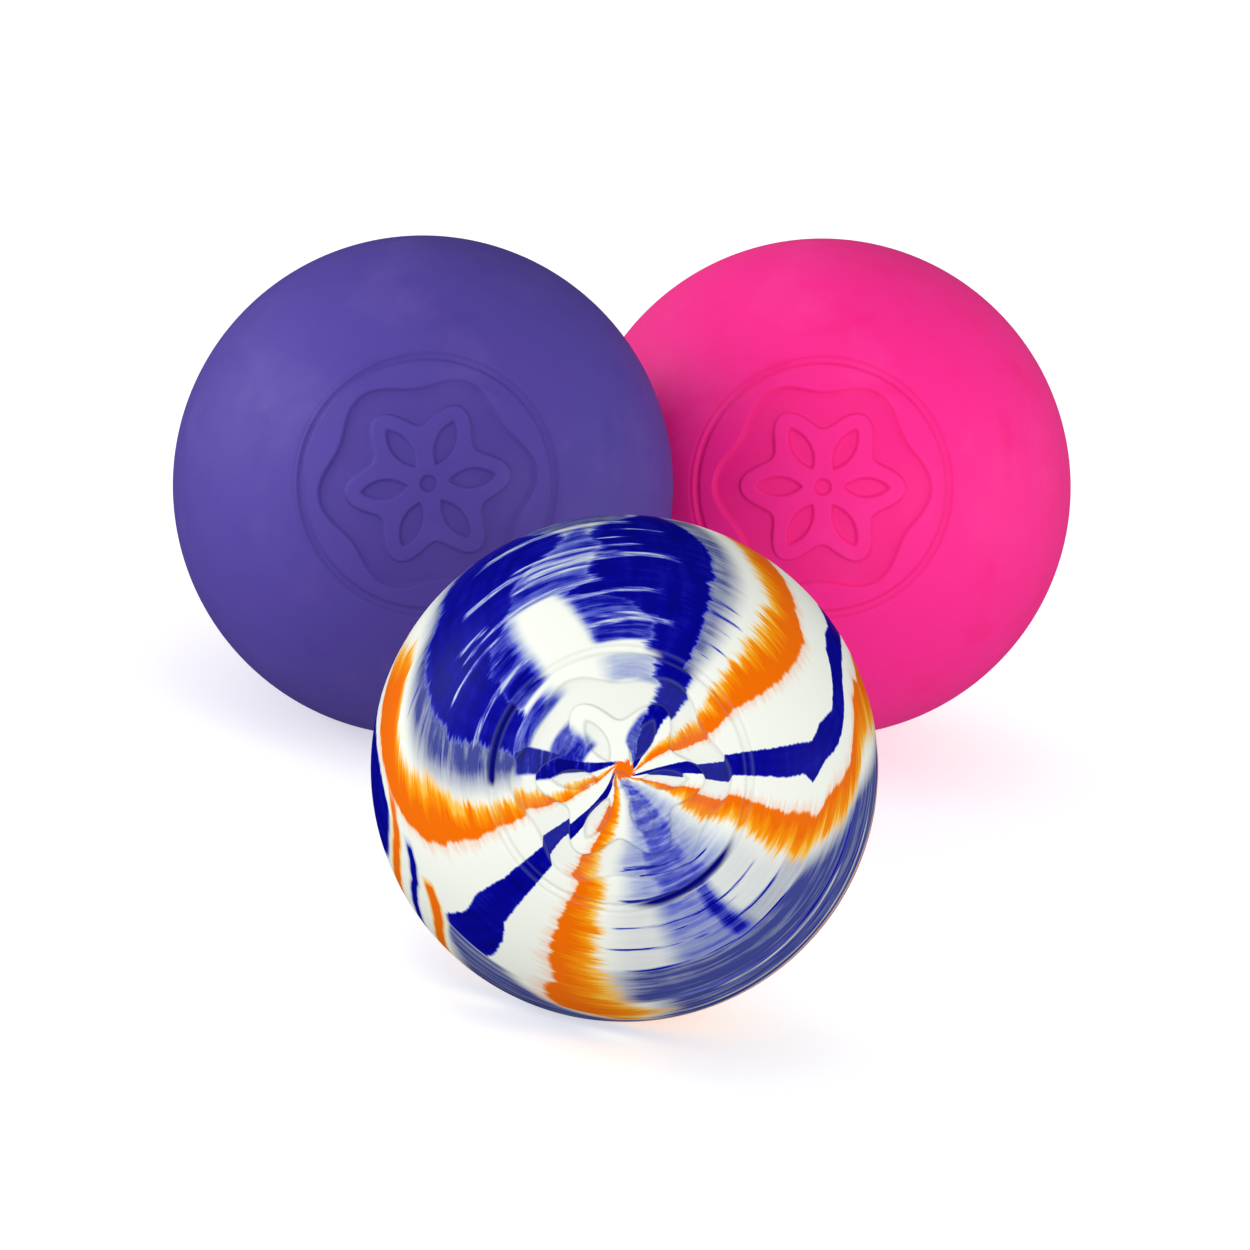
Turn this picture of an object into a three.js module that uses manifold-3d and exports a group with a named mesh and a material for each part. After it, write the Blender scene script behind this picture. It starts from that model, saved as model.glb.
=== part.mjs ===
// A set of three solid rubber balls for trigger-point massage and hand exercise.
// Each ball is one moulded piece: a sphere with a shallow ring groove around a
// stamped six-petal rosette. Two balls lie side by side and the third lies apart.
// Millimetres, +Z up. The origin is on the floor, under the middle of the set.

import * as THREE from 'three';
import { mergeVertices } from 'three/addons/utils/BufferGeometryUtils.js';
import Module from 'manifold-3d';

const wasm = await Module();
wasm.setup();

// ---------------------------------------------------------------- dimensions

const BALL_DIAMETER = 63.5;
const BALL_RADIUS = BALL_DIAMETER / 2;

// where the balls lie on the floor, as seen from the purple ball's centre
const PAIR_GAP = 0.4;
const PINK_BEARING = 39.1;
const MARBLED_BEARING = -72.6;
const MARBLED_DISTANCE = 110;

// the stamp: distances from its own axis, and depths below the ball's surface
const RING_RADIUS = 0.508 * BALL_RADIUS;
const RING_WIDTH = 1.0;
const RING_DEPTH = 0.35;
const FIELD_DEPTH = 0.45;
const FIELD_RADIUS = 0.41 * BALL_RADIUS;
const FIELD_WAVE = 0.028 * BALL_RADIUS;
const ROSETTE_RADIUS = 0.285 * BALL_RADIUS;
const ROSETTE_WAVE = 0.05 * BALL_RADIUS;
const PETAL_COUNT = 6;
const PETAL_INNER = 0.085 * BALL_RADIUS;
const PETAL_OUTER = 0.27 * BALL_RADIUS;
const PETAL_HALF_WIDTH = 0.038 * BALL_RADIUS;
const DOT_RADIUS = 0.032 * BALL_RADIUS;

// how finely the curves are divided
const SPHERE_SEGMENTS = 40;
const OUTLINE_POINTS = 48;
const PETAL_POINTS = 5;
const DOT_POINTS = 10;

const CUTTER_TOP = BALL_RADIUS + 2;
const CUTTER_BOTTOM = BALL_RADIUS * Math.cos(Math.PI / 5);

// tilt is the stamp's angle above the horizon, turn its swing from -Y towards +X,
// and spin its turn about its own axis, counter-clockwise as seen from outside
const BALLS = [
  { name: 'purple_ball', color: 0x58499c, roughness: 0.6, tilt: 16.7, turn: 1.4, spin: 20 },
  { name: 'pink_ball', color: 0xf63c94, roughness: 0.55, tilt: 16, turn: 0, spin: 12 },
  { name: 'marbled_ball', color: 0x5a63b4, roughness: 0.35, tilt: 13.5, turn: -0.5, spin: 13 },
];

const radians = THREE.MathUtils.degToRad;

// ------------------------------------------------------------ solid modelling

function toSolid(geometry) {
  geometry.deleteAttribute('normal');
  geometry.deleteAttribute('uv');
  const merged = mergeVertices(geometry, 1e-4);
  const mesh = new wasm.Mesh({
    numProp: 3,
    vertProperties: new Float32Array(merged.attributes.position.array),
    triVerts: new Uint32Array(merged.index.array),
  });
  return new wasm.Manifold(mesh);
}

function toGeometry(solid) {
  const mesh = solid.getMesh();
  const geometry = new THREE.BufferGeometry();
  geometry.setAttribute('position', new THREE.BufferAttribute(mesh.vertProperties, 3));
  geometry.setIndex(new THREE.BufferAttribute(mesh.triVerts, 1));
  geometry.computeVertexNormals();
  return geometry;
}

function uprightSphere(radius) {
  const geometry = new THREE.SphereGeometry(radius, SPHERE_SEGMENTS, SPHERE_SEGMENTS / 2);
  return geometry.rotateX(Math.PI / 2);
}

// ------------------------------------------------------------------ the stamp

// a point at a distance from the ball's centre and an angle from the stamp's axis
function polar(distance, angle) {
  return new THREE.Vector2(distance * Math.sin(angle), distance * Math.cos(angle));
}

// a closed outline whose radius swells and shrinks once for each petal
function wavyOutline(radius, wave, OutlineClass) {
  const points = [];
  for (let i = 0; i < OUTLINE_POINTS; i += 1) {
    const angle = (2 * Math.PI * i) / OUTLINE_POINTS;
    const distance = radius + wave * Math.cos(PETAL_COUNT * angle);
    points.push(new THREE.Vector2(distance * Math.cos(angle), distance * Math.sin(angle)));
  }
  return new OutlineClass(points);
}

// a lens whose two edges bow out from the line between its tips
function petalOutline(index) {
  const points = [];
  const length = PETAL_OUTER - PETAL_INNER;
  for (const side of [1, -1]) {
    for (let i = 0; i < PETAL_POINTS; i += 1) {
      const along = side > 0 ? i / PETAL_POINTS : 1 - i / PETAL_POINTS;
      const across = -side * PETAL_HALF_WIDTH * Math.sin(Math.PI * along);
      points.push(new THREE.Vector2(PETAL_INNER + length * along, across));
    }
  }
  const centre = new THREE.Vector2(0, 0);
  const angle = (2 * Math.PI * index) / PETAL_COUNT;
  return new THREE.Shape(points.map((point) => point.rotateAround(centre, angle)));
}

function dotOutline() {
  const shape = new THREE.Shape();
  shape.absarc(0, 0, DOT_RADIUS, 0, 2 * Math.PI);
  return shape;
}

// an upright prism through the ball's skin, along the stamp's axis
function prism(shape) {
  const geometry = new THREE.ExtrudeGeometry(shape, {
    depth: CUTTER_TOP - CUTTER_BOTTOM,
    bevelEnabled: false,
    steps: 1,
    curveSegments: DOT_POINTS,
  });
  return toSolid(geometry.translate(0, 0, CUTTER_BOTTOM));
}

// a ring with a flat-bottomed section, whose lathe axis is turned to +Z
function ringCutter() {
  const angle = Math.asin(RING_RADIUS / BALL_RADIUS);
  const floorHalf = RING_WIDTH / 4 / BALL_RADIUS;
  const mouthHalf = RING_WIDTH / BALL_RADIUS;
  const profile = [
    polar(BALL_RADIUS - RING_DEPTH, angle - floorHalf),
    polar(BALL_RADIUS - RING_DEPTH, angle + floorHalf),
    polar(BALL_RADIUS + RING_DEPTH, angle + mouthHalf),
    polar(BALL_RADIUS + RING_DEPTH, angle - mouthHalf),
    polar(BALL_RADIUS - RING_DEPTH, angle - floorHalf),
  ];
  return toSolid(new THREE.LatheGeometry(profile, SPHERE_SEGMENTS).rotateX(Math.PI / 2));
}

function stampCutter() {
  const field = wavyOutline(FIELD_RADIUS, FIELD_WAVE, THREE.Shape);
  field.holes.push(wavyOutline(ROSETTE_RADIUS, ROSETTE_WAVE, THREE.Path));
  let cutter = prism(field).add(prism(dotOutline()));
  for (let i = 0; i < PETAL_COUNT; i += 1) {
    cutter = cutter.add(prism(petalOutline(i)));
  }
  const core = toSolid(uprightSphere(BALL_RADIUS - FIELD_DEPTH));
  return cutter.subtract(core).add(ringCutter());
}

// ------------------------------------------------------------------ the balls

function makeBall(ball, stamp) {
  const aim = new THREE.Matrix4()
    .makeRotationZ(radians(ball.turn))
    .multiply(new THREE.Matrix4().makeRotationX(radians(90 - ball.tilt)))
    .multiply(new THREE.Matrix4().makeRotationZ(radians(ball.spin)));
  const aimed = toGeometry(stamp).applyMatrix4(aim);
  const solid = toSolid(uprightSphere(BALL_RADIUS)).subtract(toSolid(aimed));
  const material = new THREE.MeshStandardMaterial({
    color: ball.color,
    roughness: ball.roughness,
    metalness: 0,
  });
  const mesh = new THREE.Mesh(toGeometry(solid), material);
  mesh.name = ball.name;
  return mesh;
}

function onFloor(distance, bearing) {
  const angle = radians(bearing);
  return new THREE.Vector3(distance * Math.cos(angle), distance * Math.sin(angle), BALL_RADIUS);
}

function makeSet() {
  const places = [
    onFloor(0, 0),
    onFloor(BALL_DIAMETER + PAIR_GAP, PINK_BEARING),
    onFloor(MARBLED_DISTANCE, MARBLED_BEARING),
  ];
  const middle = new THREE.Box3().setFromPoints(places).getCenter(new THREE.Vector3());
  const set = new THREE.Group();
  const stamp = stampCutter();
  BALLS.forEach((ball, index) => {
    const mesh = makeBall(ball, stamp);
    mesh.position.set(places[index].x - middle.x, places[index].y - middle.y, places[index].z);
    set.add(mesh);
  });
  return set;
}

export default makeSet();
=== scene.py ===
import math

import bpy
import numpy as np
from mathutils import Matrix, Vector


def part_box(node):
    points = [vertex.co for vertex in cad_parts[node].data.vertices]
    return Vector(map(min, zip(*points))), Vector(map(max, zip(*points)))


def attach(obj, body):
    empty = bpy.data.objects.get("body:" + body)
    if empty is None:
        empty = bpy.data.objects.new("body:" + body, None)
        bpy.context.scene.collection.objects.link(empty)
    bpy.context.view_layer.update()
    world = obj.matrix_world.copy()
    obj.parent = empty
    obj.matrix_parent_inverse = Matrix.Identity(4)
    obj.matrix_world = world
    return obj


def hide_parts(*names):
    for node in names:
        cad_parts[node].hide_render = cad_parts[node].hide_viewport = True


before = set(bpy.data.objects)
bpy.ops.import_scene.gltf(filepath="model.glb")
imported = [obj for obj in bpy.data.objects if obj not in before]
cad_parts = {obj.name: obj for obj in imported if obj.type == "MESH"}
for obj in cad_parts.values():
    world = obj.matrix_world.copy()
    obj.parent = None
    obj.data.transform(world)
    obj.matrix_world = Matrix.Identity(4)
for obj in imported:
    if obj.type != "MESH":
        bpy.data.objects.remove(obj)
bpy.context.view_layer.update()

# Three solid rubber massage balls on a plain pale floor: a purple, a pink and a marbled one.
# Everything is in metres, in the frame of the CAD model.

# ------------------------------------------------------------------ dimensions

# Everything on a ball is worked out in ball radii, from the size the frame gives.
MM = 0.001
LOWEST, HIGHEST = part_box("purple_ball")
RADIUS = (HIGHEST.z - LOWEST.z) / 2

# the stamp, as distances from its own axis and depths below the surface
RING_RADIUS = 0.508
RING_WIDTH = 0.95 * MM / RADIUS
RING_DEPTH = 0.28 * MM / RADIUS
HAIRLINE_RADIUS = 0.532
HAIRLINE_WIDTH = 0.5 * MM / RADIUS
HAIRLINE_DEPTH = 0.07 * MM / RADIUS
FIELD_DEPTH = 0.48 * MM / RADIUS
FIELD_RADIUS = 0.41
FIELD_WAVE = 0.028
ROSETTE_RADIUS = 0.285
ROSETTE_WAVE = 0.05
PETAL_COUNT = 6
PETAL_INNER = 0.085
PETAL_OUTER = 0.27
PETAL_HALF_WIDTH = 0.038
DOT_RADIUS = 0.032
WALL_WIDTH = 0.34 * MM / RADIUS

# where the ring groove's walls lie between its middle, at 1, and one width away, at 0; the
# materials paint shade along these walls
RING_WALL = 0.5
RING_WALL_SPREAD = 0.3

# the parting line that the mould leaves around the ball, across the stamp's axis
SEAM_HEIGHT = 0.05 * MM / RADIUS
SEAM_WIDTH = 0.5 * MM / RADIUS

# how finely a ball is meshed: on the stamp and the seam, and elsewhere
FINE_STEP = 0.165 * MM / RADIUS
PLAIN_STEP = 0.75 * MM / RADIUS
MARBLED_STEP = 0.47 * MM / RADIUS
FEWEST_POINTS = 8
STAMP_EDGE = math.radians(33)
SEAM_EDGE = math.radians(1.6)

# the camera: its angle above the floor, how far it leans, and what it takes in
CAMERA_ELEVATION = math.radians(16.1)
CAMERA_LEAN = math.radians(12.84)
CAMERA_LENS = 1600
CAMERA_SENSOR = 36
CAMERA_REACH = 100
VIEW_WIDTH = 2.49 * 2 * RADIUS
AIM_RIGHT = 0.11 * RADIUS
AIM_UP = -0.1094 * RADIUS

# aim points a stamp: its tilt above the horizon, its turn from -Y towards +X, and its spin
# about its own axis, counter-clockwise as seen from outside, all in degrees
BALLS = {
    "purple_ball": {"body": "purple", "slot": "purple_rubber", "aim": (16.7, 1.4, 20)},
    "pink_ball": {"body": "pink", "slot": "pink_rubber", "aim": (16, 0, 12)},
    "marbled_ball": {"body": "marbled", "slot": "marbled_rubber", "aim": (13.5, -0.5, 13)},
}
# the same for the pole that the swirl of the marbled ball starts from
SWIRL_AIM = (16.1, 0, 12.84)


def srgb(red, green, blue):
    """A colour given in 8-bit screen values, as the linear colour that a shader takes."""
    def linear(value):
        value /= 255
        return value / 12.92 if value <= 0.04045 else ((value + 0.055) / 1.055) ** 2.4
    return (linear(red), linear(green), linear(blue), 1)


def aimed(tilt, turn, spin):
    """The right, up and outward axes of a mark on a ball, as the columns of a matrix."""
    return (Matrix.Rotation(math.radians(turn), 3, "Z")
            @ Matrix.Rotation(math.radians(90 - tilt), 3, "X")
            @ Matrix.Rotation(math.radians(spin), 3, "Z"))


def centre_of(node):
    """The centre of a CAD node's box."""
    lowest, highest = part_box(node)
    return (lowest + highest) / 2


# -------------------------------------------------------------- the ball's mesh

def smoothstep(value, low, high):
    """0 at low and 1 at high, with a smooth rise between."""
    t = np.clip((value - low) / (high - low), 0, 1)
    return t * t * (3 - 2 * t)


def sunk(distance):
    """1 inside an outline, 0 outside it, with a sloping wall between."""
    return 1 - smoothstep(distance, -WALL_WIDTH / 2, WALL_WIDTH / 2)


def from_wavy_outline(away, azimuth, radius, wave):
    """How far a point is outside an outline whose radius swells once for each petal."""
    slope = PETAL_COUNT * wave * np.sin(PETAL_COUNT * azimuth) / radius
    return (away - radius - wave * np.cos(PETAL_COUNT * azimuth)) / np.sqrt(1 + slope ** 2)


def from_petal(away, azimuth, index):
    """How far a point is outside a petal: a lens between two equal arcs."""
    turn = azimuth - 2 * math.pi * index / PETAL_COUNT
    along = away * np.cos(turn) - (PETAL_INNER + PETAL_OUTER) / 2
    across = np.abs(away * np.sin(turn))
    half_length = (PETAL_OUTER - PETAL_INNER) / 2
    arc = (half_length ** 2 + PETAL_HALF_WIDTH ** 2) / (2 * PETAL_HALF_WIDTH)
    return np.hypot(along, across + arc - PETAL_HALF_WIDTH) - arc


def stamp_recess(polar, azimuth):
    """How deep the stamp is at each point, from 0 on the surface to 1 on the recess's floor."""
    away = np.sin(polar)
    recess = sunk(from_wavy_outline(away, azimuth, FIELD_RADIUS, FIELD_WAVE))
    recess *= 1 - sunk(from_wavy_outline(away, azimuth, ROSETTE_RADIUS, ROSETTE_WAVE))
    for index in range(PETAL_COUNT):
        recess = np.maximum(recess, sunk(from_petal(away, azimuth, index)))
    recess = np.maximum(recess, sunk(away - DOT_RADIUS))
    return recess * (polar < STAMP_EDGE)


def groove(away, radius, width):
    """A round-bottomed groove's depth across its width, from 0 to 1."""
    return 1 - smoothstep(np.abs(away - radius), 0, width / 2)


def surface_distance(polar, recess):
    """The surface's distance from the ball's centre, in ball radii."""
    away = np.where(polar < STAMP_EDGE, np.sin(polar), 0)
    distance = 1 - FIELD_DEPTH * recess
    distance -= RING_DEPTH * sunk(np.abs(away - RING_RADIUS) - RING_WIDTH / 2 + WALL_WIDTH / 2)
    distance -= HAIRLINE_DEPTH * groove(away, HAIRLINE_RADIUS, HAIRLINE_WIDTH)
    return distance + SEAM_HEIGHT * groove(polar, math.pi / 2, SEAM_WIDTH)


def ring_section(polar):
    """1 in the middle of the ring groove, 0 one groove's width away, and less beyond."""
    section = 1 - np.abs(np.sin(polar) - RING_RADIUS) / RING_WIDTH
    return np.where(polar > STAMP_EDGE, -1, section)


def ring_angles(coarse_step):
    """The polar angles of the mesh's rings: close together on the stamp and the seam."""
    half = math.pi / 2
    stops = (0, STAMP_EDGE, half - SEAM_EDGE, half + SEAM_EDGE, math.pi)
    steps = (FINE_STEP, coarse_step, FINE_STEP, coarse_step)
    angles = []
    for start, end, step in zip(stops, stops[1:], steps):
        count = math.ceil((end - start) / step)
        angles += [start + (end - start) * i / count for i in range(count)]
    return angles[1:]


def ring_counts(angles, coarse_step):
    """Points on each ring: a power of two that doubles or halves from ring to ring at most."""
    counts = []
    for angle in angles:
        step = FINE_STEP if angle < STAMP_EDGE else coarse_step
        wanted = 2 * math.pi * math.sin(angle) / step
        counts.append(max(FEWEST_POINTS, 2 ** round(math.log2(wanted))))
    for i in range(1, len(counts)):
        counts[i] = max(counts[i], counts[i - 1] // 2)
    for i in range(len(counts) - 2, -1, -1):
        counts[i] = max(counts[i], counts[i + 1] // 2)
    return counts


def strip_between(first, first_count, second, second_count):
    """Faces between two rings that have as many, twice as many or half as many points."""
    faces = []
    for i in range(min(first_count, second_count)):
        if first_count == second_count:
            j = (i + 1) % first_count
            faces.append((first + i, second + i, second + j, first + j))
        elif second_count > first_count:
            j = (i + 1) % first_count
            k = [(2 * i + step) % second_count for step in range(3)]
            faces.append((first + i, second + k[0], second + k[1]))
            faces.append((first + i, second + k[1], first + j))
            faces.append((first + j, second + k[1], second + k[2]))
        else:
            j = (i + 1) % second_count
            k = [(2 * i + step) % first_count for step in range(3)]
            faces.append((first + k[0], second + i, first + k[1]))
            faces.append((first + k[1], second + i, second + j))
            faces.append((first + k[1], second + j, first + k[2]))
    return faces


def ball_grid(coarse_step):
    """The polar and azimuth angles of a ball's points, from the stamp's pole, and its faces."""
    angles = ring_angles(coarse_step)
    counts = ring_counts(angles, coarse_step)
    starts = [1 + sum(counts[:i]) for i in range(len(counts))]
    last = 1 + sum(counts)
    polar = np.concatenate([[0.0], *[np.full(n, a) for a, n in zip(angles, counts)], [math.pi]])
    rounds = [2 * math.pi * np.arange(n) / n for n in counts]
    azimuth = np.concatenate([[0.0], *rounds, [0.0]])
    faces = [(0, 1 + i, 1 + (i + 1) % counts[0]) for i in range(counts[0])]
    for i in range(len(counts) - 1):
        faces += strip_between(starts[i], counts[i], starts[i + 1], counts[i + 1])
    end = starts[-1]
    faces += [(last, end + (i + 1) % counts[-1], end + i) for i in range(counts[-1])]
    return polar, azimuth, faces


def store(mesh, fields):
    """Keeps values for each point of a mesh, by name."""
    for name, values in fields.items():
        kind, field = ("FLOAT", "value") if values.ndim == 1 else ("FLOAT_VECTOR", "vector")
        mesh.attributes.new(name, kind, "POINT").data.foreach_set(field, values.ravel())


def make_ball(node, coarse_step, further_fields=None):
    """A moulded ball in place of its CAD node, with the relief of the stamp in its mesh.

    further_fields works out more values at each point, for the ball's material.
    """
    ball = BALLS[node]
    polar, azimuth, faces = ball_grid(coarse_step)
    recess = stamp_recess(polar, azimuth)
    distance = surface_distance(polar, recess)
    local = np.stack([
        np.sin(polar) * np.cos(azimuth),
        np.sin(polar) * np.sin(azimuth),
        np.cos(polar),
    ], axis=1)
    place = local @ np.array(aimed(*ball["aim"])).T
    points = np.array(centre_of(node)) + RADIUS * distance[:, None] * place
    mesh = bpy.data.meshes.new(ball["slot"])
    mesh.from_pydata(points.tolist(), [], faces)
    ring = ring_section(polar)
    # the ring's walls, where the materials paint shade
    ring_wall = np.clip(1 - np.abs(ring - RING_WALL) / RING_WALL_SPREAD, 0, 1)
    store(mesh, {"recess": recess, "ring_wall": ring_wall})
    if further_fields:
        store(mesh, further_fields(place, recess, ring))
    mesh.shade_smooth()
    piece = bpy.data.objects.new(mesh.name, mesh)
    bpy.context.scene.collection.objects.link(piece)
    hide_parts(node)
    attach(piece, ball["body"])
    return piece


# --------------------------------------------------------------- shader building

class Shader:
    """A material and short ways to add the nodes it is built from."""

    def __init__(self, name):
        self.material = bpy.data.materials.new(name)
        self.material.use_nodes = True
        self.tree = self.material.node_tree
        self.surface = self.tree.nodes["Principled BSDF"]

    def node(self, kind, inputs=(), **settings):
        """A new node, with its settings and the values or links of its inputs."""
        node = self.tree.nodes.new(kind)
        for name, value in settings.items():
            setattr(node, name, value)
        for socket, value in inputs:
            self.put(node.inputs[socket], value)
        return node

    def put(self, socket, value):
        """Links a node's output to a socket, or gives the socket a plain value."""
        if isinstance(value, bpy.types.NodeSocket):
            self.tree.links.new(value, socket)
        else:
            socket.default_value = value

    def math(self, operation, *values):
        return self.node("ShaderNodeMath", enumerate(values), operation=operation).outputs[0]

    def add(self, first, second):
        return self.math("ADD", first, second)

    def times(self, first, second):
        return self.math("MULTIPLY", first, second)

    def less(self, first, second):
        return self.math("SUBTRACT", first, second)

    def most(self, first, second):
        return self.math("MAXIMUM", first, second)

    def rise(self, value, low, high):
        """0 below low, 1 above high, smooth between."""
        inputs = (("Value", value), ("From Min", low), ("From Max", high))
        return self.node("ShaderNodeMapRange", inputs, interpolation_type="SMOOTHSTEP").outputs[0]

    def noise(self, vector, scale, detail=2, roughness=0.5):
        node = self.node("ShaderNodeTexNoise", (("Vector", vector), ("Scale", scale)))
        node.inputs["Detail"].default_value = detail
        node.inputs["Roughness"].default_value = roughness
        return node.outputs[0]

    def mix(self, factor, first, second):
        """A colour that is the first at factor 0 and the second at factor 1."""
        node = self.node("ShaderNodeMix", data_type="RGBA")
        sockets = [socket for socket in node.inputs if socket.enabled]
        for socket, value in zip(sockets, (factor, first, second)):
            self.put(socket, value)
        return next(socket for socket in node.outputs if socket.enabled)

    def ramp(self, value, stops):
        """A colour that runs through the stops: (position, colour), ..."""
        node = self.node("ShaderNodeValToRGB", ((0, value),))
        elements = node.color_ramp.elements
        while len(elements) < len(stops):
            elements.new(0.5)
        for element, (position, colour) in zip(elements, stops):
            element.position = position
            element.color = colour
        return node.outputs["Color"]

    def value(self, name):
        """A value worked out for each point of the mesh."""
        return self.node("ShaderNodeAttribute", attribute_name=name).outputs["Fac"]

    def painted_stamp_shade(self, floor, wall, ring):
        """How much shade is painted on the stamp: on its recess's floor and walls and on its
        ring's walls.
        """
        recess = self.value("recess")
        slope = self.times(recess, self.less(1, recess))
        shadow = self.add(self.times(recess, floor), self.times(slope, wall))
        return self.add(shadow, self.times(self.value("ring_wall"), ring))

    def on_ball(self, node):
        """The place on the ball, as a direction from its centre of length 1."""
        coordinates = self.node("ShaderNodeTexCoord").outputs["Object"]
        location = tuple(-c / RADIUS for c in centre_of(node))
        inputs = (("Vector", coordinates), ("Location", location), ("Scale", (1 / RADIUS,) * 3))
        return self.node("ShaderNodeMapping", inputs, vector_type="POINT").outputs[0]

    def bump(self, height, distance):
        inputs = (("Height", height), ("Distance", distance), ("Strength", 1))
        return self.node("ShaderNodeBump", inputs).outputs["Normal"]


# --------------------------------------------------------------- plain rubber

# a ball's colour, its paler clouds, its deeper patches and the shade painted in its stamp
PLAIN_COLOURS = {
    "purple_ball": (srgb(79, 62, 156), srgb(88, 71, 161), srgb(75, 58, 153), srgb(66, 49, 132)),
    "pink_ball": (srgb(254, 32, 144), srgb(255, 46, 151), srgb(252, 20, 134), srgb(234, 0, 100)),
}

# the scales of plain rubber's noises, on a ball of radius 1, from the broadest to the finest
CLOUD_SCALE = 2.2
PATCH_SCALE = 5
SKIN_SCALE = 28
SPECK_SCALE = 60
GRAIN_SCALE = 190

SPECK_STRENGTH = 0.35
SKIN_HEIGHT = 1.5
BUMP_HEIGHT = 0.006 * MM
PLAIN_ROUGHNESS = 0.55
ROUGHNESS_SPREAD = 0.14
PLAIN_SPECULAR = 0.3
# how strongly shade is painted on the stamp: on the recess's floor, on its walls and on the ring's
# walls
PLAIN_STAMP_SHADE = {"floor": 0.2, "wall": 1.2, "ring": 0.45}


def plain_rubber(node, colour, cloudy, deep, painted_stamp_shade):
    """Through-coloured rubber, faintly mottled, with a fine dull grain."""
    shader = Shader(BALLS[node]["slot"])
    place = shader.on_ball(node)
    clouds = shader.noise(place, CLOUD_SCALE, detail=3, roughness=0.55)
    shade = shader.mix(shader.rise(clouds, 0.5, 0.75), colour, cloudy)
    patches = shader.noise(place, PATCH_SCALE, detail=4)
    shade = shader.mix(shader.rise(patches, 0.5, 0.8), shade, deep)
    # painted shade: darker on the stamp's recess and walls and on the ring's walls
    shade = shader.mix(shader.painted_stamp_shade(**PLAIN_STAMP_SHADE), shade, painted_stamp_shade)
    specks = shader.rise(shader.noise(place, SPECK_SCALE, detail=1), 0.74, 0.8)
    shade = shader.mix(shader.times(specks, SPECK_STRENGTH), shade, cloudy)
    grain = shader.noise(place, GRAIN_SCALE, detail=2, roughness=0.6)
    skin = shader.noise(place, SKIN_SCALE, detail=3)
    rough = shader.add(PLAIN_ROUGHNESS, shader.times(skin, ROUGHNESS_SPREAD))
    height = shader.add(grain, shader.times(skin, SKIN_HEIGHT))
    shader.put(shader.surface.inputs["Base Color"], shade)
    shader.put(shader.surface.inputs["Roughness"], rough)
    shader.put(shader.surface.inputs["Normal"], shader.bump(height, BUMP_HEIGHT))
    shader.surface.inputs["Specular IOR Level"].default_value = PLAIN_SPECULAR
    return shader.material


# -------------------------------------------------------------- marbled rubber

IVORY = srgb(231, 234, 225)
PALE_BLUE = srgb(176, 186, 208)
PERIWINKLE = srgb(82, 92, 190)
MID_BLUE = srgb(16, 20, 154)
DEEP_BLUE = srgb(0, 0, 140)
INK_BLUE = srgb(0, 0, 112)
# the greys of the greyer washes, which also paint the shade near the rim
GREY_BLUE = srgb(104, 114, 156)
DUSK_BLUE = srgb(60, 68, 140)
# the grey of the shade painted in the stamp
SHADED = srgb(120, 130, 140)
ORANGE = srgb(230, 105, 0)
AMBER = srgb(236, 143, 6)
YELLOW = srgb(238, 184, 72)
BLUSH = srgb(236, 188, 164)

MARBLED_ROUGHNESS = 0.4
MARBLED_SPECULAR = 0.035
# how strongly shade is painted on the stamp: on the recess's floor, on its walls and on the ring's
# walls
MARBLED_STAMP_SHADE = {"floor": 0.07, "wall": 0.7, "ring": 0.16}

# how much the strands bend towards the top, by the angle from the pole
BEND = (
    (0, 0), (40, 0), (52, 0.11), (65, 0.32), (78, 0.6), (90, 0.9), (110, 1.2), (140, 1.05),
    (180, 0.8),
)

# waves in the circles about the pole: how many to a turn, their phase and their height
WAVES = ((3, 1, 0.35), (8, 0, 0.2))

# in degrees: how far the stamp shifts the strands, how far they twist at the pole, the plug of
# orange there, and how far arcs, threads and washes taper at their ends
STAMP_SHIFT = 4
POLE_TWIST = 130
TWIST_FADE = 0.55
PLUG_RADIUS = 2.2
ARC_TAPER = 8
THREAD_TAPER = 3
WASH_TAPER = 0.7
# how far outside a strand or a thread a point counts as, where there is none near
FAR = 20
FAR_FROM_THREAD = 9

# where the ring groove lays a layer of ivory or of deep blue bare: the middle bearing, how far
# to each side, and how soft its ends are
PALE_ON_RING = (102, 30, 6)
DARK_ON_RING = ((168, 19, 4), (300, 24, 12))
PALE_RING_STRENGTH = 0.5
DARK_RING_STRENGTH = 0.8


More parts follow.
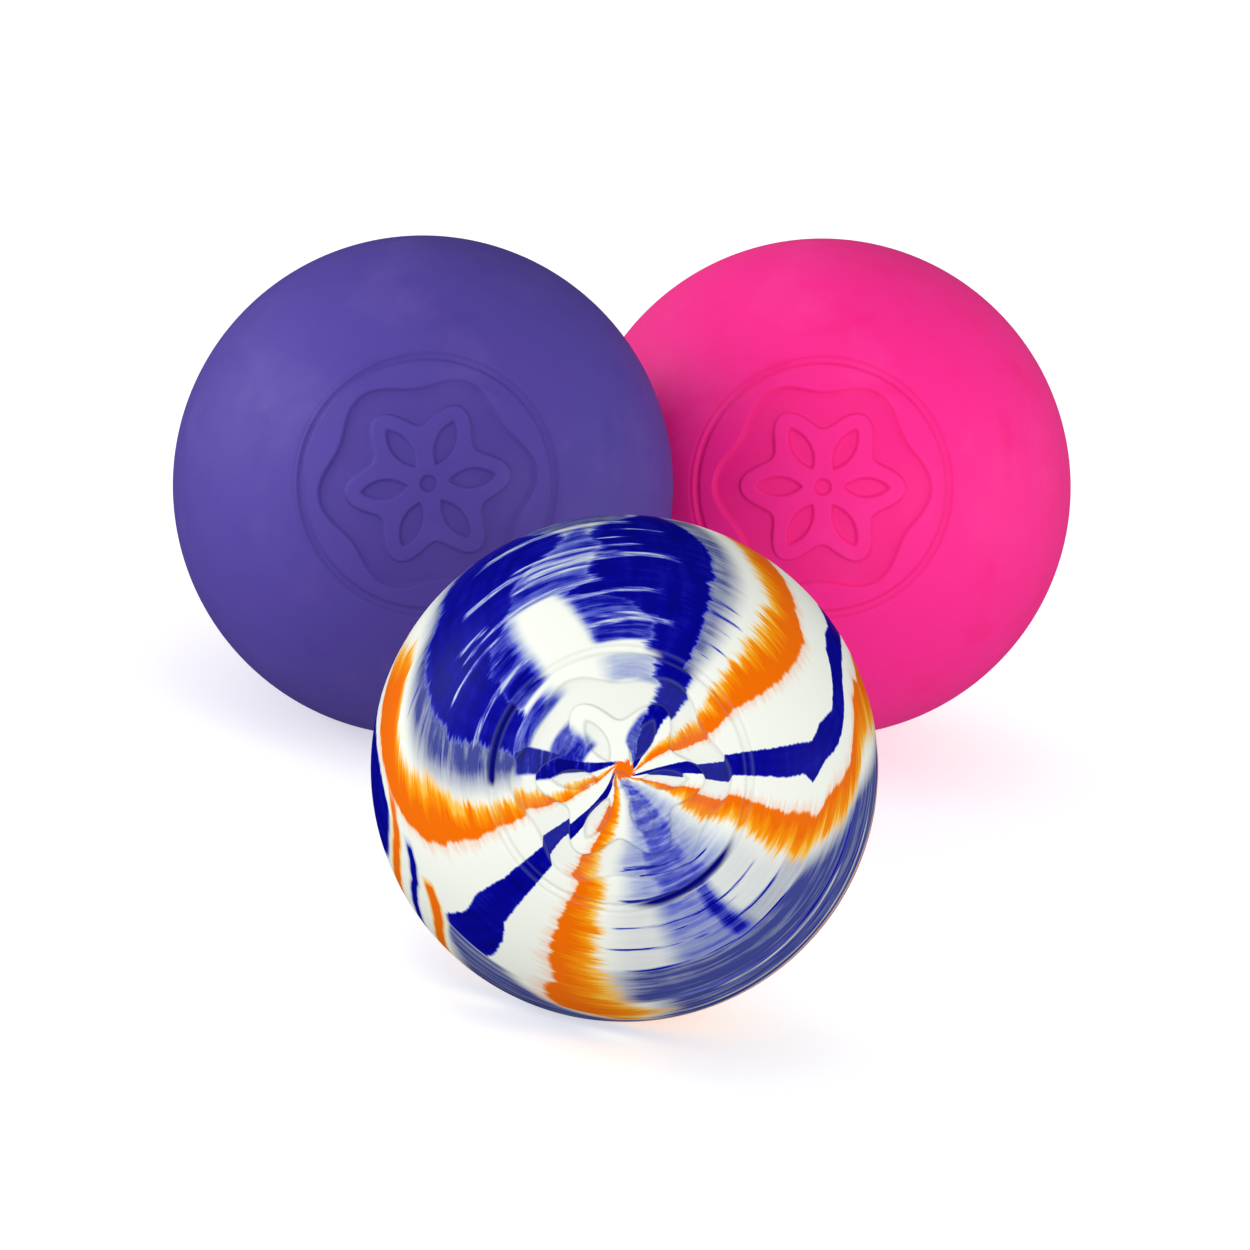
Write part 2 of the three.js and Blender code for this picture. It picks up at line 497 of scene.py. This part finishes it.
class Flow:
    """Where each point lies in the flow of the marbled rubber.

    The flow fans out from a pole. polar is the angle from the pole, and bearing is the
    direction in which a strand left the pole, counter-clockwise from the right, both in
    degrees. Past about 40 degrees the strands bend towards the top.
    """

    def __init__(self, place, recess):
        x, y, z = (place @ np.array(aimed(*SWIRL_AIM))).T
        away = np.hypot(x, y)
        self.polar = np.degrees(np.arctan2(away, z))
        bend = np.exp(along(self.polar, BEND, 1))
        bearing = 90 - 2 * np.degrees(np.arctan2(x * bend, away + y))
        twist = POLE_TWIST * np.exp(-TWIST_FADE * self.polar)
        self.bearing = bearing + STAMP_SHIFT * recess + twist
        angle = np.radians(self.bearing)
        self.coordinates = np.stack([np.cos(angle), np.sin(angle), self.polar], axis=1)
        waves = [height * np.sin(count * angle + phase) for count, phase, height in WAVES]
        self.wavy_polar = self.polar + sum(waves)

    def off(self, centre):
        """How far the bearing is from a centre, from -180 to 180."""
        return (self.bearing - centre + 180) % 360 - 180

    def edges(self, knots):
        """How far each point is inside a strand's low and high edge, in degrees of bearing.

        knots are (polar, low bearing, high bearing), ...
        """
        centre = sum(low + high for _, low, high in knots) / (2 * len(knots))
        off = self.off(centre)
        low = along(self.polar, knots, 1) - centre
        high = along(self.polar, knots, 2) - centre
        return off - low, high - off

    def within(self, start, end):
        """How far each point is between two angles from the pole, in degrees."""
        return np.minimum(self.wavy_polar - start, end - self.wavy_polar)

    def arcs(self, arcs):
        """Above 0 on arcs along the flow, up to 1 in the middle of one."""
        best = np.full(len(self.polar), -1.0)
        for polar, thickness, low, high, slope in arcs:
            off = self.off((low + high) / 2)
            across = np.abs(self.wavy_polar - polar - slope * off) / thickness
            ends = ((high - low) / 2 - np.abs(off)) / ARC_TAPER
            best = np.maximum(best, np.minimum(1 - across, ends))
        return best

    def threads(self, threads):
        """How far each point is inside the nearest thread, in degrees."""
        best = np.full(len(self.polar), -float(FAR_FROM_THREAD))
        for knots, thickness in threads:
            first, last = knots[0][0], knots[-1][0]
            off = self.off((first + last) / 2) + (first + last) / 2
            across = np.abs(self.polar - along(off, knots, 1))
            ends = np.minimum(off - first, last - off) / THREAD_TAPER
            best = np.maximum(best, np.minimum(thickness / 2 - across, ends))
        return best


def along(value, knots, column):
    """A value that runs straight from knot to knot."""
    return np.interp(value, [knot[0] for knot in knots], [knot[column] for knot in knots])


# orange strands: knots, and which edge is yellow; the other is pink
ORANGE_STRANDS = (
    (((0, 24, 37), (10, 23, 37), (24, 24, 37), (28, 28, 42), (40, 29, 44), (46, 27, 43),
      (56, 25, 41), (60, 23, 39), (65, 26, 40), (80, 23, 40), (90, 19, 38), (120, 16, 44),
      (180, 10, 44)), "high"),
    (((0, 199, 211), (10, 200, 209), (20, 200, 210), (26, 196, 206), (34, 196, 205),
      (44, 191, 206), (50, 189, 208), (57, 192, 209), (61, 193, 208), (64.5, 190, 207),
      (67, 183, 206), (70, 176, 205), (74, 179, 204), (80, 188, 202), (86, 196, 200),
      (92, 199, 197), (180, 200, 180)), "low"),
    (((93, 204, 174), (100, 184, 194), (112, 178, 200), (140, 172, 204), (180, 168, 206)), "low"),
    (((94, 286, 254), (102, 264, 276), (116, 258, 280), (150, 252, 284), (180, 250, 286)), "high"),
    (((96, 130, 98), (106, 108, 122), (130, 104, 126), (180, 100, 128)), "low"),
    (((0, 250, 264), (8, 252, 264), (20, 247, 258), (30, 248, 260), (38, 246, 259),
      (46, 248, 261), (52, 250, 263), (60, 255, 268), (66, 255, 269), (70, 257, 271),
      (75, 261, 275), (79, 268, 272), (83, 272, 270), (180, 290, 250)), "high"),
    (((0, 334, 344), (10, 334, 344), (20, 332, 346), (28, 334, 347), (34, 334, 346),
      (44, 331, 344), (51, 328, 341), (54, 333, 345), (62, 333, 345), (66, 337, 350),
      (70, 341, 353), (75, 339, 351), (80, 333, 346), (90, 322, 338), (120, 322, 340),
      (180, 322, 346)), "low"),
)

# blue strands: knots, how smeared the two edges are, and the polar angles that they lie between
BLUE_STRANDS = (
    (((0, 354, 368), (6, 356, 364), (12, 356, 367), (20, 357, 368), (40, 357, 368), (45, 356, 366),
      (48, 352, 364), (52, 356, 367), (58, 355, 364), (62, 357, 367), (67, 361, 371),
      (72, 360, 369), (78, 356, 363), (84, 350, 359), (90, 343, 354), (120, 340, 356),
      (180, 330, 352)), (1, 1), -9, 999),
    (((0, 234, 250), (8, 230, 240), (14, 227, 235), (22, 224, 232), (28, 223, 233), (40, 222, 232),
      (50, 224, 235), (56, 229, 240), (62, 231, 243), (66, 232, 244), (90, 250, 256)),
     (1, 1), -9, 67),
    (((0, 40, 72), (5, 44, 70), (10, 48, 72), (14, 51, 69), (20, 52, 71), (26.5, 53, 73),
      (27.5, 59, 80), (36, 60, 79), (42, 61, 90), (46, 62, 112), (49, 60, 100), (53, 62, 103),
      (57, 59, 101), (62, 60, 98), (68, 60, 104), (74, 63, 103), (78, 66, 94), (84, 70, 86),
      (90, 74, 82), (110, 66, 100), (180, 56, 96)), (3.5, 7), -9, 999),
    (((0, 154, 176), (27, 151, 172), (36, 146, 171), (44, 141, 172), (47, 130, 171),
      (52, 127, 169), (57, 126, 168), (62, 118, 168), (66, 113, 164), (70, 112, 161),
      (74, 114, 165), (80, 128, 167), (90, 146, 168), (120, 130, 164), (180, 130, 160)),
     (7, 6), 26, 999),
    (((70, 212, 217), (74, 208, 223), (80, 209, 230), (90, 214, 238), (104, 218, 240),
      (130, 212, 242), (180, 208, 242)), (2, 2), 70, 999),
    (((93, 298, 302), (100, 292, 312), (120, 290, 318), (180, 288, 316)), (2, 3), 93, 999),
)

# brushed washes of thinner blue: knots, how soft the edges are, density, the polar angles
# between which they lie
WASHES = (
    (((28, 76, 102), (36, 76, 105), (42, 76, 108), (48, 76, 113)), (4, 3), 0.7, 30.6, 48.2),
    (((0, 131, 152), (180, 131, 152)), (5, 5), 0.8, 28, 49),
    (((0, 98, 134), (180, 98, 134)), (6, 5), 0.66, 48, 58),
    (((57, 92, 126), (63, 92, 122), (70, 103, 113), (76, 105, 112)), (4, 4), 0.62, 57, 76),
    (((0, 66, 78), (6, 66, 92), (10, 66, 80), (14, 64, 70)), (2, 4), 0.6, 2, 14),
    (((0, 70, 100), (180, 70, 100)), (2, 8), 0.26, 20.5, 27),
    (((0, 136, 172), (180, 136, 172)), (9, 2), 0.62, 22.5, 26.5),
    (((0, 144, 174), (180, 144, 174)), (7, 2), 0.62, 9, 17.5),
    (((0, 171, 188), (10, 171, 188), (18, 171, 187)), (1, 1.5), 0.95, 2, 25.5),
    (((0, 278, 322), (16, 276, 322), (22, 272, 322), (180, 272, 322)), (8, 12), 0.34, 2, 31),
    (((0, 284, 312), (180, 284, 312)), (7, 7), 0.54, 3, 31),
    (((0, 284, 307), (180, 284, 307)), (5, 2), 0.42, 30, 53),
    (((0, 300, 306), (180, 300, 306)), (2, 2), 0.7, 30, 52.5),
)

# greyer washes, where the blue is thin over ivory; the last three, which start 67 to 73 degrees
# from the pole and run over the rim, are also painted shade at the ball's edge
GREY_WASHES_AND_RIM_SHADE = (
    (((0, 53, 66), (20, 53, 66), (44, 54, 68), (60, 51, 66), (80, 52, 70), (90, 55, 80)),
     (5, 1), 1.0, 19, 999),
    (((0, 166, 186), (28, 166, 187), (48, 166, 186), (56, 162, 184), (62, 158, 178),
      (70, 148, 167), (80, 158, 170), (90, 160, 180), (180, 150, 180)), (1, 9), 1.14, 24, 999),
    (((0, 267, 331), (34, 267, 330), (52, 268, 328)), (7, 7), 0.28, 30, 54),
    (((0, 284, 332), (50, 284, 330), (60, 276, 330)), (9, 5), 0.62, 46, 54),
    (((54, 268, 326), (60, 268, 330), (66, 268, 333)), (9, 9), 1.18, 53, 68),
    (((0, 86, 158), (90, 86, 158), (104, 80, 104), (180, 80, 100)), (6, 6), 1.1, 73, 999),
    (((68, 234, 250), (76, 244, 262), (84, 250, 274), (90, 252, 300), (180, 240, 300)), (3, 3),
     1.1, 67, 999),
    (((68, 276, 334), (76, 276, 330), (90, 270, 322), (180, 262, 322)), (4, 4), 1.15, 67, 999),
)

# arcs scratched along the flow: polar angle, thickness, first and last bearing, slope
PALE_ARCS = (
    (36, 1.0, 68, 108, -0.03), (37.8, 0.5, 76, 102, 0.0), (35.8, 1.0, 128, 174, 0.02),
    (44.6, 1.0, 76, 118, -0.02), (46, 0.7, 130, 168, 0.02), (41, 0.4, 134, 162, 0.0),
    (49, 0.8, 95, 154, 0.0), (51.6, 0.9, 136, 155, 0.08), (54.5, 0.8, 98, 130, 0.0),
    (57.3, 1.5, 70, 126, -0.02), (59.4, 1.3, 88, 150, 0.03), (61.8, 0.9, 82, 132, 0.0),
    (76, 2.0, 86, 150, -0.01), (69, 0.8, 284, 318, -0.03), (33, 0.5, 284, 310, -0.03),
    (78.5, 0.8, 276, 322, -0.05), (66, 0.5, 86, 104, 0.0), (70.5, 0.6, 72, 96, 0.02),
)
DARK_ARCS = (
    (39, 0.6, 264, 328, -0.01), (46.2, 0.7, 262, 327, 0.02), (53, 0.9, 268, 320, 0.0),
    (31.5, 0.8, 266, 298, -0.03), (24, 0.6, 270, 312, 0.0), (66.8, 1.4, 272, 334, -0.02),
    (71.5, 1.0, 276, 332, 0.0), (76, 0.8, 276, 324, 0.02), (81, 1.2, 270, 318, 0.0),
    (60.5, 0.5, 164, 184, 0.1), (34.5, 0.5, 170, 186, 0.0), (38, 0.4, 170, 186, 0.0),
    (46, 0.5, 170, 189, 0.0), (42, 0.4, 170, 184, 0.0), (53, 0.5, 164, 180, 0.05),
    (23.4, 0.5, 270, 294, 0.0), (26, 0.4, 278, 320, 0.02), (41.5, 0.4, 282, 312, 0.0),
    (36.5, 0.6, 46, 62, 0.0), (45.2, 0.8, 46, 64, 0.0), (41.6, 0.5, 48, 62, 0.0),
    (49, 0.6, 48, 64, 0.0), (33, 0.4, 49, 61, 0.0), (56, 0.5, 46, 62, 0.0),
)

# thin threads where the strands fold over near the parting line
ORANGE_THREADS = (
    (((202, 68.5), (207, 67.3), (213, 67.6), (219, 70), (226, 74.5), (233, 80), (240, 86.5),
      (246, 94)), 2.3),
    (((224, 63.6), (230, 66.2), (236, 70.6), (242, 77.2), (248, 85), (254, 93)), 2.5),
    (((272, 89), (284, 86.5), (296, 85.2), (308, 86), (318, 89)), 1.8),
)
BLUE_THREADS = (
    (((215, 64.2), (220, 65.6), (227, 69.5), (234, 75.5), (241, 82), (248, 90)), 1.9),
)


def edge(value, softness):
    """0 outside an edge, 1 inside it, and soft for so far on both sides of it."""
    return smoothstep(value, -softness, softness)


def densest(flow, washes):
    """The densest of some washes at each point."""
    best = np.zeros(len(flow.polar))
    for knots, soft, density, start, end in washes:
        low, high = flow.edges(knots)
        wash = edge(low, soft[0]) * edge(high, soft[1]) * edge(flow.within(start, end), WASH_TAPER)
        best = np.maximum(best, density * wash)
    return best


def orange_fields(flow):
    """How far each point is inside the yellow and the pink edge of the nearest orange strand."""
    yellow, pink, body = (np.full(len(flow.polar), -float(FAR)) for _ in range(3))
    for knots, yellow_side in ORANGE_STRANDS:
        low, high = flow.edges(knots)
        nearest = np.minimum(low, high) > body
        body = np.maximum(body, np.minimum(low, high))
        yellow = np.where(nearest, high if yellow_side == "high" else low, yellow)
        pink = np.where(nearest, low if yellow_side == "high" else high, pink)
    return {"orange_torn": np.clip(yellow, -FAR, FAR), "orange_soft": np.clip(pink, -FAR, FAR)}


def blue_field(flow):
    """How far each point is inside the nearest deep blue strand."""
    blue = np.full(len(flow.polar), -float(FAR))
    for knots, smear, start, end in BLUE_STRANDS:
        low, high = flow.edges(knots)
        inside = np.minimum(low / smear[0], high / smear[1])
        blue = np.maximum(blue, np.minimum(inside, flow.within(start, end)))
    return blue


def bared(flow, middle, reach, softness):
    """1 where the ring groove may lay a layer bare."""
    return edge(reach - np.abs(flow.off(middle)), softness)


def marbled_fields(place, recess, ring):
    """The marbling at each point: distances inside the strands and densities of the washes."""
    flow = Flow(place, recess)
    near_ring = np.maximum(ring, 0)
    dark = np.maximum(*(bared(flow, *where) for where in DARK_ON_RING))
    return orange_fields(flow) | {
        "flow": flow.coordinates,
        "plug": PLUG_RADIUS - flow.polar,
        "blue": blue_field(flow),
        "thin_blue": densest(flow, WASHES),
        "grey_wash_and_rim_shade": densest(flow, GREY_WASHES_AND_RIM_SHADE),
        "pale_arcs": flow.arcs(PALE_ARCS),
        "dark_arcs": flow.arcs(DARK_ARCS),
        "orange_threads": flow.threads(ORANGE_THREADS),
        "blue_threads": flow.threads(BLUE_THREADS),
        "pale_ring": PALE_RING_STRENGTH * near_ring * bared(flow, *PALE_ON_RING),
        "dark_ring": DARK_RING_STRENGTH * near_ring * dark,
    }


class Marbling(Shader):
    """The marbled rubber's material, with the noises that fray its strands."""

    def __init__(self, name):
        super().__init__(name)
        self.flow = self.node("ShaderNodeAttribute", attribute_name="flow").outputs["Vector"]
        self.tuft = self.less(self.drawn_out(2.4, 2.6), 0.5)
        self.hair = self.less(self.drawn_out(5, 0.7, detail=1), 0.5)
        self.brush = self.rise(self.drawn_out(2.6, 1.4, detail=4), 0.32, 0.66)
        self.fine = self.rise(self.drawn_out(6, 0.6, detail=3), 0.3, 0.7)
        self.fan = self.rise(self.drawn_out(13, 16, detail=3), 0.3, 0.7)
        self.streaks = self.blend(brush=0.4, fine=0.18, fan=0.08)

    def drawn_out(self, around, thickness, detail=2):
        """Noise drawn out along the circles about the pole, as thick as so many degrees."""
        inputs = ((0, self.flow), (1, (around, around, 1 / thickness)))
        vector = self.node("ShaderNodeVectorMath", inputs, operation="MULTIPLY").outputs[0]
        return self.noise(vector, 1, detail=detail)

    def blend(self, brush, fine, fan):
        """The three streaky noises added together, each with its own weight."""
        thinner = self.add(self.times(self.fine, fine), self.times(self.fan, fan))
        return self.add(self.times(self.brush, brush), thinner)

    def frayed(self, name, tuft, hair):
        """A distance inside a strand, frayed by so many degrees of tufts and of hairs."""
        fraying = self.add(self.times(self.tuft, tuft), self.times(self.hair, hair))
        return self.add(self.value(name), fraying)

    def blue_on_ivory(self):
        """Deep strands, thinner and greyer washes, the greyer ones also painting shade along the
        rim, and arcs scratched through them.
        """
        deep = self.rise(self.frayed("blue", 1, 1.1), -0.5, 0.5)
        thin = self.times(self.value("thin_blue"), self.add(0.62, self.streaks))
        scratch = self.rise(self.add(self.value("pale_arcs"), self.hair), 0, 0.7)
        scratch = self.times(scratch, self.add(0.25, self.times(self.fine, 0.6)))
        dark = self.rise(self.add(self.value("dark_arcs"), self.hair), 0.1, 0.8)
        veil = self.times(self.blend(brush=0.08, fine=0.05, fan=0.12), deep)
        density = self.times(self.less(self.most(deep, thin), veil), self.less(1, scratch))
        density = self.most(density, self.times(dark, self.add(0.4, self.streaks)))
        colour = self.ramp(density, (
            (0, IVORY), (0.22, PALE_BLUE), (0.5, PERIWINKLE), (0.72, MID_BLUE),
            (0.86, DEEP_BLUE), (1, INK_BLUE),
        ))
        streaky = self.add(0.68, self.times(self.streaks, 0.55))
        # the greyer washes: thin grey marbling, and painted shade near the rim
        grey = self.times(self.times(self.value("grey_wash_and_rim_shade"), streaky), self.less(1, scratch))
        tint = self.mix(self.rise(grey, 0.6, 1.1), GREY_BLUE, DUSK_BLUE)
        bare = self.less(1, self.rise(density, 0.25, 0.6))
        return self.mix(self.times(self.math("MINIMUM", grey, 1), bare), colour, tint)

    def threads_over(self, colour):
        """Thin threads, each with an ivory border and then a paler one."""
        threads = (("orange_threads", YELLOW, ORANGE), ("blue_threads", PALE_BLUE, DEEP_BLUE))
        for name, border, shade in threads:
            thread = self.add(self.value(name), self.times(self.tuft, 0.8))
            colour = self.mix(self.times(self.rise(thread, -2.2, -0.8), 0.9), colour, IVORY)
            colour = self.mix(self.times(self.rise(thread, -0.9, -0.1), 0.8), colour, border)
            colour = self.mix(self.rise(thread, -0.25, 0.35), colour, shade)
        return colour

    def orange_over(self, colour):
        """Each strand is yellow and torn along one side, pink and soft along the other."""
        torn = self.frayed("orange_torn", 4, 2)
        soft = self.frayed("orange_soft", 4, 2)
        wisps = self.frayed("orange_soft", 5, 10)
        teeth = self.frayed("orange_torn", 5, 10)
        blush = self.times(self.rise(wisps, -4.5, 0.5), self.rise(torn, -1, 2))
        colour = self.mix(self.times(blush, 0.6), colour, BLUSH)
        fringe = self.times(self.rise(teeth, -3.5, 1), self.rise(soft, -0.5, 1))
        colour = self.mix(self.times(fringe, 0.9), colour, YELLOW)
        depth = self.math("DIVIDE", self.add(teeth, self.times(self.tuft, 12)), 10)
        shade = self.ramp(depth, ((0, YELLOW), (0.3, AMBER), (0.85, ORANGE)))
        body = self.times(self.rise(teeth, -0.4, 1.6), self.rise(soft, -0.6, 1))
        return self.mix(body, colour, shade)

    def middle_over(self, colour):
        """A plug of orange at the pole, other layers bared by the ring, and shade painted in the
        stamp.
        """
        plug = self.add(self.value("plug"), self.times(self.tuft, 4))
        colour = self.mix(self.rise(plug, -0.3, 0.4), colour, ORANGE)
        colour = self.mix(self.rise(self.value("pale_ring"), 0.1, 0.6), colour, IVORY)
        colour = self.mix(self.rise(self.value("dark_ring"), 0.1, 0.6), colour, INK_BLUE)
        return self.mix(self.painted_stamp_shade(**MARBLED_STAMP_SHADE), colour, SHADED)


def marbled_rubber(node):
    """Ivory, orange and deep blue rubber, folded together and drawn out over the ball."""
    shader = Marbling(BALLS[node]["slot"])
    colour = shader.threads_over(shader.blue_on_ivory())
    colour = shader.middle_over(shader.orange_over(colour))
    shader.put(shader.surface.inputs["Base Color"], colour)
    shader.surface.inputs["Roughness"].default_value = MARBLED_ROUGHNESS
    shader.surface.inputs["Specular IOR Level"].default_value = MARBLED_SPECULAR
    return shader.material


# ----------------------------------------------------------- stage and lights

# the sky: how bright it is above and in its band at the horizon, and the half-height of that
# band, as the sine of its angle, where it starts to fade and where it ends
SKY_STRENGTH = 0.53
SKY_BAND_STRENGTH = 1.02
SKY_BAND = 0.15
SKY_BAND_EDGE = 0.22

FLOOR_HALF_WIDTH = 20
FLOOR_WHITE = 0.8
FLOOR_ROUGHNESS = 0.9
FLOOR_GLOW = 0.52

# the softboxes: where they stand, their power in watts, and whether they leave a highlight
SOFTBOX_SIZE = 0.5
SOFTBOXES = {
    "softbox_left": ((-1.1, 0.15, 0.25), 5.4, True),
    "softbox_right": ((1.1, 0.0, 0.25), 1.9, True),
    "softbox_front_left": ((-0.85, -0.85, 0.15), 2.0, True),
    "softbox_front_right": ((0.6, -1.1, 0.15), 2.0, True),
    "softbox_front": ((0.0, -1.25, 0.36), 4.4, False),
    "softbox_top": ((-0.2, -0.3, 1.1), 1.0, True),
}


def make_softbox(name, place, power, shines):
    """A square light that faces the middle of the set."""
    light = bpy.data.lights.new(name, "AREA")
    light.shape = "SQUARE"
    light.size = SOFTBOX_SIZE
    light.energy = power
    lamp = bpy.data.objects.new(name, light)
    lamp.location = place
    facing = Vector((0, 0, RADIUS)) - Vector(place)
    lamp.rotation_euler = facing.to_track_quat("-Z", "Y").to_euler()
    lamp.visible_camera = False
    lamp.visible_glossy = shines
    bpy.context.scene.collection.objects.link(lamp)


def make_sky():
    """White light from all round, brightest in a band at the horizon, that leaves no highlight."""
    world = bpy.data.worlds.new("studio")
    world.use_nodes = True
    tree = world.node_tree
    direction = tree.nodes.new("ShaderNodeTexCoord").outputs["Generated"]
    split = tree.nodes.new("ShaderNodeSeparateXYZ")
    band = tree.nodes.new("ShaderNodeMapRange")
    band.inputs["From Min"].default_value = SKY_BAND_EDGE
    band.inputs["From Max"].default_value = SKY_BAND
    band.inputs["To Min"].default_value = SKY_STRENGTH
    band.inputs["To Max"].default_value = SKY_BAND_STRENGTH
    height = tree.nodes.new("ShaderNodeMath")
    height.operation = "ABSOLUTE"
    tree.links.new(direction, split.inputs[0])
    tree.links.new(split.outputs["Z"], height.inputs[0])
    tree.links.new(height.outputs[0], band.inputs["Value"])
    background = tree.nodes["Background"]
    background.inputs["Color"].default_value = (1, 1, 1, 1)
    tree.links.new(band.outputs[0], background.inputs["Strength"])
    bpy.context.scene.world = world
    world.cycles_visibility.glossy = False


def make_floor():
    """A wide white floor, which gives off a little light but doesn't light the balls itself."""
    half = FLOOR_HALF_WIDTH
    corners = ((-half, -half, 0), (half, -half, 0), (half, half, 0), (-half, half, 0))
    mesh = bpy.data.meshes.new("floor")
    mesh.from_pydata(corners, [], [(0, 1, 2, 3)])
    floor = bpy.data.objects.new("floor", mesh)
    bpy.context.scene.collection.objects.link(floor)
    shader = Shader("floor")
    shader.surface.inputs["Base Color"].default_value = (FLOOR_WHITE, FLOOR_WHITE, FLOOR_WHITE, 1)
    shader.surface.inputs["Roughness"].default_value = FLOOR_ROUGHNESS
    shader.surface.inputs["Specular IOR Level"].default_value = 0
    shader.surface.inputs["Emission Color"].default_value = (1, 1, 1, 1)
    shader.surface.inputs["Emission Strength"].default_value = FLOOR_GLOW
    mesh.materials.append(shader.material)
    floor.visible_diffuse = False
    floor.visible_glossy = False
    floor.visible_shadow = False


def make_camera():
    """A long lens that looks along +Y and down, leaning so that up on the floor points right."""
    outward = Vector((0, -math.cos(CAMERA_ELEVATION), math.sin(CAMERA_ELEVATION)))
    level = Vector((1, 0, 0))
    upright = outward.cross(level)
    right = math.cos(CAMERA_LEAN) * level + math.sin(CAMERA_LEAN) * upright
    up = outward.cross(right)
    distance = VIEW_WIDTH * CAMERA_LENS / CAMERA_SENSOR
    data = bpy.data.cameras.new("camera")
    data.lens = CAMERA_LENS
    data.sensor_width = CAMERA_SENSOR
    data.clip_end = CAMERA_REACH
    camera = bpy.data.objects.new("camera", data)
    place = Vector((0, 0, RADIUS)) + AIM_RIGHT * right + AIM_UP * up + distance * outward
    axes = Matrix((right, up, outward)).transposed().to_4x4()
    camera.matrix_world = Matrix.Translation(place) @ axes
    bpy.context.scene.collection.objects.link(camera)
    bpy.context.scene.camera = camera


# ------------------------------------------------------------------- the scene

make_camera()
make_floor()
make_sky()
for name, (place, power, shines) in SOFTBOXES.items():
    make_softbox(name, place, power, shines)
bpy.context.scene.view_settings.view_transform = "Standard"

for node, colours in PLAIN_COLOURS.items():
    plain_ball = make_ball(node, PLAIN_STEP)
    plain_ball.data.materials.append(plain_rubber(node, *colours))
marbled_ball = make_ball("marbled_ball", MARBLED_STEP, marbled_fields)
marbled_ball.data.materials.append(marbled_rubber("marbled_ball"))
